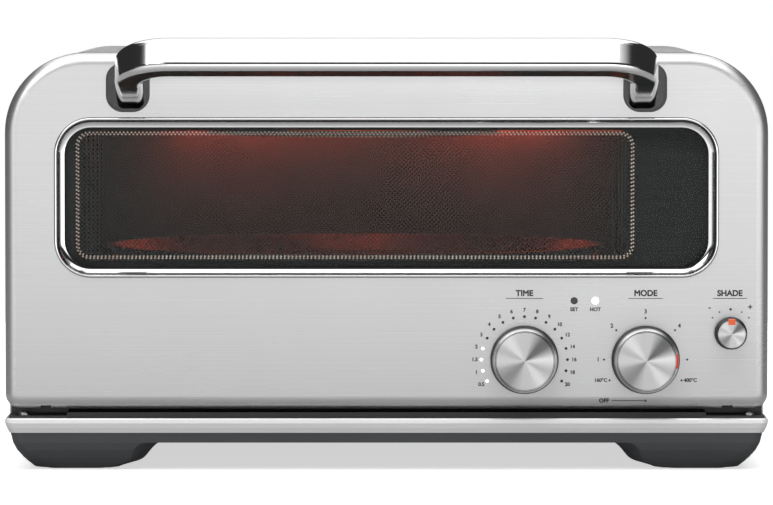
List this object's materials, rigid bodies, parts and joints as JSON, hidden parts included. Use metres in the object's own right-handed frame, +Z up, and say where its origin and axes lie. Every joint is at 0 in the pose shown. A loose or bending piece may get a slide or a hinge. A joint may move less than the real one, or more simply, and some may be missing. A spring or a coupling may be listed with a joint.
{
  "type": "countertop pizza oven",
  "caption": "Wide low countertop pizza oven: brushed steel drop-down door with window, bar handle and dials, over a bright band and dark moulded feet",
  "frame": {"origin": "on the worktop under the middle of the overall box: midway across the base band, and midway between the front of the handle and the tips of the wall spacers", "axes": "+X to the user's right along the door, +Y from the door to the back, +Z up"},
  "size_m": [0.4706, 0.4612, 0.2675],
  "materials": {
    "brushed_steel": "horizontal fine brushed grain",
    "satin_steel": "satin polished bar",
    "polished_trim": "polished",
    "spun_metal": "spun face, turned edge",
    "plain_sheet": "plain mill finish",
    "zinc_sheet": "zinc coated",
    "cavity_enamel": "dark grey non-stick coating",
    "clear_glass": "clear toughened",
    "black_print": "gloss black fired print",
    "dark_plastic": "dark grey, fine texture",
    "black_plastic": "black",
    "rubber_feet": "matt",
    "rope_seal": "woven glass rope",
    "mineral_wool": "fibrous",
    "heater_rod": "oxidised sheath",
    "hot_rod": "red hot sheath",
    "white_ceramic": "unglazed",
    "deck_stone": "cordierite, fine pores",
    "pan_steel": "seasoned carbon steel",
    "spring_steel": "bright",
    "red_pointer": "red",
    "orange_pointer": "orange red",
    "lit_lens": "lit white",
    "dark_lens": "smoked, unlit",
    "circuit_board": "solder mask",
    "switch_plastic": "moulded",
    "lead_sleeve": "silicone sleeve"
  },
  "bodies": {
    "chassis": {"outer_shell": "brushed_steel", "rear_panel": "zinc_sheet", "rear_screws": "spring_steel", "front_frame": "plain_sheet", "door_gasket": "rope_seal", "cavity_liner": "cavity_enamel", "insulation": "mineral_wool", "cavity_supports": "zinc_sheet", "upper_heaters": "hot_rod", "lower_heaters": "heater_rod", "heater_terminals": "white_ceramic", "heat_deflector": "plain_sheet", "deck_runners": "plain_sheet", "thermostat_probe": "spring_steel", "hinge_brackets": "zinc_sheet", "hinge_pins": "spring_steel", "hinge_springs": "spring_steel", "base_trim": "polished_trim", "base_tub": "dark_plastic", "foot_pads": "rubber_feet", "floor_plate": "zinc_sheet", "floor_screws": "spring_steel", "front_sill": "black_plastic", "power_board": "circuit_board", "line_filter": "zinc_sheet", "bay_wiring": "lead_sleeve", "cord_gland": "black_plastic", "wall_spacers": "black_plastic", "fan_housing": "black_plastic"},
    "door": {"door_outer_panel": "brushed_steel", "door_inner_panel": "cavity_enamel", "window_bezel": "polished_trim", "window_outer_glass": "clear_glass", "window_mask": "black_print", "window_inner_glass": "clear_glass", "glass_clips": "spring_steel", "door_brackets": "zinc_sheet", "handle_bar": "satin_steel", "handle_cups": "polished_trim", "handle_screws": "spring_steel", "dial_washers": "black_plastic", "control_board": "circuit_board", "control_shield": "plain_sheet", "timer_encoder": "switch_plastic", "dial_switches": "switch_plastic", "lights_lit": "lit_lens", "lights_unlit": "dark_lens"},
    "timer_push": {"timer_plunger": "switch_plastic"},
    "timer_dial": {"timer_shaft": "spring_steel", "timer_knob": "spun_metal"},
    "style_dial": {"style_shaft": "spring_steel", "style_knob": "spun_metal", "style_pointer": "red_pointer"},
    "shade_dial": {"shade_shaft": "spring_steel", "shade_knob": "spun_metal", "shade_pointer": "orange_pointer"},
    "deck": {"deck_carrier": "plain_sheet", "stone_deck": "deck_stone"},
    "pan": {"pizza_pan": "pan_steel"},
    "fan": {"fan_impeller": "black_plastic"}
  },
  "joints": [
    {"name": "door_hinge", "type": "hinge", "parent": "chassis", "child": "door", "pos_m": [0, -0.1665, 0.0445], "axis": [1, 0, 0], "range_deg": [0, 80]},
    {"name": "deck_slide", "type": "slide", "parent": "chassis", "child": "deck", "axis": [0, -1, 0], "range_m": [0, 0.045]},
    {"name": "pan_lift", "type": "slide", "parent": "deck", "child": "pan", "axis": [0, 0, 1], "range_m": [0, 0.02]},
    {"name": "timer_press", "type": "slide", "parent": "door", "child": "timer_push", "axis": [0, 1, 0], "range_m": [0, 0.001], "stiffness_N_per_m": 2500, "springref_m": -0.001},
    {"name": "timer_turn", "type": "hinge", "parent": "timer_push", "child": "timer_dial", "pos_m": [0.0849, -0.19, 0.069], "axis": [0, 1, 0], "continuous": true},
    {"name": "style_turn", "type": "hinge", "parent": "door", "child": "style_dial", "pos_m": [0.1595, -0.19, 0.069], "axis": [0, -1, 0], "range_deg": [-30, 270]},
    {"name": "shade_turn", "type": "hinge", "parent": "door", "child": "shade_dial", "pos_m": [0.2118, -0.19, 0.0854], "axis": [0, -1, 0], "range_deg": [-50, 50]},
    {"name": "fan_spin", "type": "hinge", "parent": "chassis", "child": "fan", "pos_m": [0.1945, 0.2, 0.168], "axis": [0, 1, 0], "continuous": true}
  ],
  "couplings": [
    {"joint": "deck_slide", "follows": "door_hinge", "m_per_rad": 0.0322}
  ]
}
